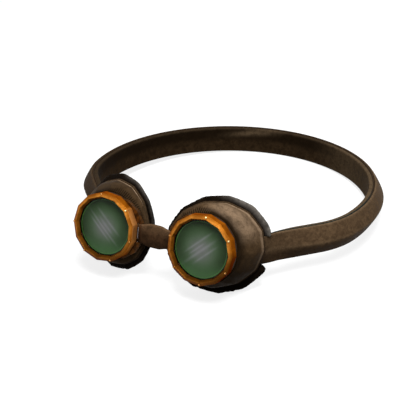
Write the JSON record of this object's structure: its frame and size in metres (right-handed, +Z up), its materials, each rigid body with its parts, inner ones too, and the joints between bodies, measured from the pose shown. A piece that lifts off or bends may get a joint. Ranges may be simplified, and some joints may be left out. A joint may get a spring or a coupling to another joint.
{
  "type": "goggles",
  "caption": "Round-lens leather goggles with screw-on brass lens rings, padded face cushions, a pinned leather bridge and a padded head strap.",
  "frame": {"origin": "centre of the bounding box's base: the surface that the face cushions and the back of the strap rest on", "axes": "+Z up, the lenses face -Y and a little up, the strap runs back along +Y; left is -X, as seen from in front of the lenses"},
  "size_m": [0.2012, 0.2112, 0.0558],
  "materials": {
    "ring_brass": "warm cast brass, satin, worn bright along the ridge",
    "stud_brass": "polished brass pin heads",
    "collar_brass": "dark patinated brass",
    "lens_glass": "green tinted, lightly smoky glass",
    "washer_fibre": "red-brown vulcanised fibre",
    "gasket_rubber": "matt black",
    "steel": "plain steel, slightly dulled",
    "cup_leather": "waxed brown leather, mottled",
    "welt_leather": "piped leather welt, worn pale on top",
    "cushion_leather": "near-black soft leather over foam",
    "bridge_leather": "dark brown folded leather",
    "strap_leather": "brown leather, mottled",
    "lining_leather": "dark brown lining leather",
    "piping_leather": "dark green-grey piping cord",
    "felt": "wool felt"
  },
  "bodies": {
    "goggles": {"left_lens": "lens_glass", "left_lens_gasket": "gasket_rubber", "left_collar": "collar_brass", "left_bridge_pin": "steel", "left_clamp_ring": "steel", "left_cup": "cup_leather", "left_cup_welt": "welt_leather", "left_face_cushion": "cushion_leather", "left_strap_lining": "lining_leather", "right_lens": "lens_glass", "right_lens_gasket": "gasket_rubber", "right_collar": "collar_brass", "right_bridge_pin": "steel", "right_clamp_ring": "steel", "right_cup": "cup_leather", "right_cup_welt": "welt_leather", "right_face_cushion": "cushion_leather", "right_strap_lining": "lining_leather", "nose_bridge": "bridge_leather", "strap_cover": "strap_leather", "strap_core": "felt", "strap_piping_top": "piping_leather", "strap_piping_bottom": "piping_leather"},
    "left_washer": {"left_slip_washer": "washer_fibre"},
    "left_ring": {"left_lens_ring": "ring_brass", "left_ring_studs": "stud_brass"},
    "right_washer": {"right_slip_washer": "washer_fibre"},
    "right_ring": {"right_lens_ring": "ring_brass", "right_ring_studs": "stud_brass"}
  },
  "joints": [
    {"name": "left_ring_travel", "type": "slide", "parent": "goggles", "child": "left_washer", "axis": [0, -0.9539, 0.3002], "range_m": [0, 0.00251]},
    {"name": "left_ring_turn", "type": "hinge", "parent": "left_washer", "child": "left_ring", "pos_m": [-0.0324, -0.09938, 0.03531], "axis": [0, -0.9539, 0.3002], "range_deg": [0, 900]},
    {"name": "right_ring_travel", "type": "slide", "parent": "goggles", "child": "right_washer", "axis": [0, -0.9539, 0.3002], "range_m": [0, 0.00251]},
    {"name": "right_ring_turn", "type": "hinge", "parent": "right_washer", "child": "right_ring", "pos_m": [0.0324, -0.09938, 0.03531], "axis": [0, -0.9539, 0.3002], "range_deg": [0, 900]}
  ],
  "couplings": [
    {"joint": "left_ring_travel", "follows": "left_ring_turn", "m_per_rad": 0.00015915},
    {"joint": "right_ring_travel", "follows": "right_ring_turn", "m_per_rad": 0.00015915}
  ]
}
